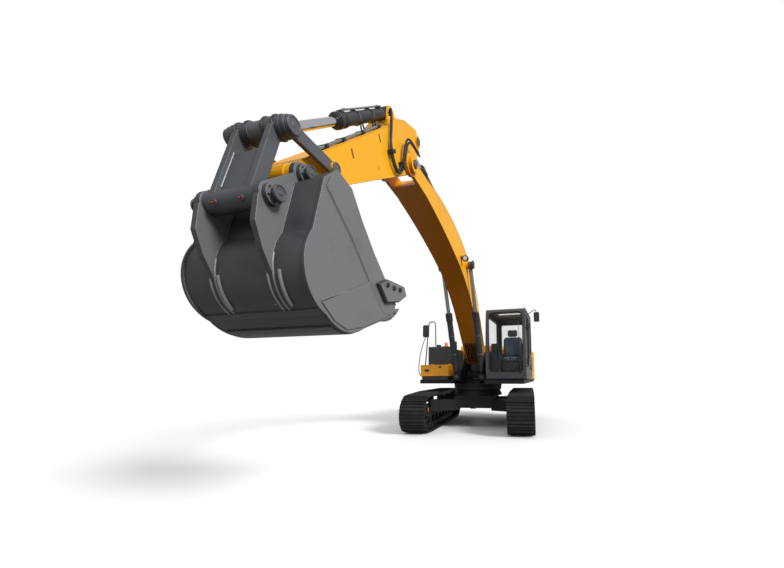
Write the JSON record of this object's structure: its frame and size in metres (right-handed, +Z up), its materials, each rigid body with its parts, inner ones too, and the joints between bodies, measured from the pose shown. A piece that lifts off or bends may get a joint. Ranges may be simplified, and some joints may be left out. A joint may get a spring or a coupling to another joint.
{
  "type": "crawler excavator",
  "caption": "Crawler excavator with enclosed cab, one-piece boom, arm and bucket, hydraulic cylinders with a bucket linkage, and steel tracks with grouser shoes.",
  "frame": {"origin": "on the ground, on the vertical axis that the upper structure turns about", "axes": "+X forward along the boom, towards the bucket; +Y to the left, the side with the cab; +Z up"},
  "size_m": [10.6816, 3.4611, 5.1525],
  "materials": {
    "yellow": "gloss yellow paint",
    "bucket_grey": "blue-grey paint, satin",
    "black_paint": "black chassis paint",
    "track_steel": "dark brown-black worn steel",
    "cast": "painted casting",
    "chrome": "chromed rod",
    "cab_grey": "dark grey cab paint",
    "tank_grey": "grey paint",
    "glass": "tinted safety glass",
    "seat": "blue-grey cloth",
    "plastic": "moulded plastic",
    "amber": "amber lens",
    "engine": "cast block",
    "rubber": "black hose"
  },
  "bodies": {
    "undercarriage": {"carbody": "black_paint", "swing_bearing": "cast", "side_frame_left": "black_paint", "side_frame_right": "black_paint", "track_left": "track_steel", "track_right": "track_steel", "idlers": "cast", "sprockets": "cast", "rollers": "cast"},
    "boom": {"boom": "yellow", "boom_lines": "rubber", "boom_lamp": "plastic"},
    "arm": {"arm": "yellow", "arm_hoses": "rubber"},
    "bucket": {"bucket": "bucket_grey", "bucket_teeth": "bucket_grey", "side_cutters": "bucket_grey"},
    "boom_barrels": {"boom_cylinder_barrel": "bucket_grey"},
    "boom_rods": {"boom_cylinder_rod": "chrome"},
    "arm_barrel": {"arm_cylinder_barrel": "bucket_grey"},
    "arm_rod": {"arm_cylinder_rod": "chrome"},
    "bucket_barrel": {"bucket_cylinder_barrel": "bucket_grey"},
    "bucket_rod": {"bucket_cylinder_rod": "chrome"},
    "guide_link_pair": {"guide_links": "bucket_grey"},
    "h_link_body": {"h_link": "bucket_grey"},
    "cab_door_leaf": {"cab_door": "cab_grey", "door_glass": "glass"},
    "left_door": {"service_door_left": "yellow"},
    "right_door": {"service_door_right": "yellow"},
    "hood": {"engine_hood": "yellow"},
    "box_lid": {"toolbox_lid": "yellow"},
    "house": {"beacon": "amber", "cab_glass": "glass", "cab_shell": "cab_grey", "controls": "plastic", "counterweight": "yellow", "cowl": "yellow", "deck": "black_paint", "engine_block": "engine", "exhaust": "plastic", "fuel_tank": "tank_grey", "handrails": "tank_grey", "hydraulic_tank": "tank_grey", "mirrors": "plastic", "seat": "seat", "toolbox": "yellow"}
  },
  "joints": [
    {"name": "swing", "type": "hinge", "parent": "undercarriage", "child": "house", "pos_m": [0, 0, 1.02], "axis": [0, 0, 1], "continuous": true},
    {"name": "boom_lift", "type": "hinge", "parent": "house", "child": "boom", "pos_m": [0.177, 0, 1.777], "axis": [0, -1, 0], "range_deg": [-70, 28]},
    {"name": "arm_swing", "type": "hinge", "parent": "boom", "child": "arm", "pos_m": [5.25862, 0, 4.39421], "axis": [0, -1, 0], "range_deg": [-82, 32]},
    {"name": "bucket_curl", "type": "hinge", "parent": "arm", "child": "bucket", "pos_m": [7.51286, 0, 2.94479], "axis": [0, -1, 0], "range_deg": [-12, 134]},
    {"name": "boom_cylinder_foot", "type": "hinge", "parent": "house", "child": "boom_barrels", "pos_m": [0.95, 0, 1.265], "axis": [0, -1, 0], "range_deg": [-75.15, 30.06]},
    {"name": "boom_cylinder_stroke", "type": "slide", "parent": "boom_barrels", "child": "boom_rods", "axis": [0.4098, 0, 0.9122], "range_m": [-0.94173, 0.37729]},
    {"name": "arm_cylinder_foot", "type": "hinge", "parent": "boom", "child": "arm_barrel", "pos_m": [2.14944, 0, 4.39015], "axis": [0, -1, 0], "range_deg": [-2.13, 0.83]},
    {"name": "arm_cylinder_stroke", "type": "slide", "parent": "arm_barrel", "child": "arm_rod", "axis": [0.9766, 0, 0.2152], "range_m": [-0.32795, 0.83881]},
    {"name": "bucket_cylinder_foot", "type": "hinge", "parent": "arm", "child": "bucket_barrel", "pos_m": [5.65402, 0, 4.97218], "axis": [0, -1, 0], "range_deg": [-0.37, 4.17]},
    {"name": "bucket_cylinder_stroke", "type": "slide", "parent": "bucket_barrel", "child": "bucket_rod", "axis": [0.7629, 0, -0.6465], "range_m": [-0.77466, 0.07028]},
    {"name": "guide_link_foot", "type": "hinge", "parent": "arm", "child": "guide_link_pair", "pos_m": [7.09602, 0, 3.24134], "axis": [0, -1, 0], "range_deg": [-7.88, 87.96]},
    {"name": "h_link_foot", "type": "hinge", "parent": "bucket", "child": "h_link_body", "pos_m": [7.82179, 0, 2.61558], "axis": [0, -1, 0], "range_deg": [-94.95, 8.5]},
    {"name": "cab_door_hinge", "type": "hinge", "parent": "house", "child": "cab_door_leaf", "pos_m": [0.016, 1.458, 2.08], "axis": [0, 0, 1], "range_deg": [0, 150]},
    {"name": "left_service_door_hinge", "type": "hinge", "parent": "house", "child": "left_door", "pos_m": [-1.881, 1.398, 1.33], "axis": [0, 0, 1], "range_deg": [0, 100]},
    {"name": "right_service_door_hinge", "type": "hinge", "parent": "house", "child": "right_door", "pos_m": [-1.881, -1.368, 1.33], "axis": [0, 0, -1], "range_deg": [0, 100]},
    {"name": "engine_hood_hinge", "type": "hinge", "parent": "house", "child": "hood", "pos_m": [-0.886, 0, 2.0763], "axis": [0, 1, 0], "range_deg": [0, 60]},
    {"name": "toolbox_lid_hinge", "type": "hinge", "parent": "house", "child": "box_lid", "pos_m": [0.37, -0.955, 1.616], "axis": [0, -1, 0], "range_deg": [0, 75]}
  ],
  "couplings": [
    {"joint": "boom_cylinder_foot", "follows": "boom_lift", "ratio": 1.0735},
    {"joint": "boom_cylinder_stroke", "follows": "boom_lift", "m_per_rad": 0.77},
    {"joint": "arm_cylinder_foot", "follows": "arm_swing", "ratio": 0.026},
    {"joint": "arm_cylinder_stroke", "follows": "arm_swing", "m_per_rad": -0.5854},
    {"joint": "bucket_cylinder_foot", "follows": "bucket_curl", "ratio": 0.0311},
    {"joint": "bucket_cylinder_stroke", "follows": "bucket_curl", "m_per_rad": -0.3308},
    {"joint": "guide_link_foot", "follows": "bucket_curl", "ratio": 0.6564},
    {"joint": "h_link_foot", "follows": "bucket_curl", "ratio": -0.7086}
  ]
}
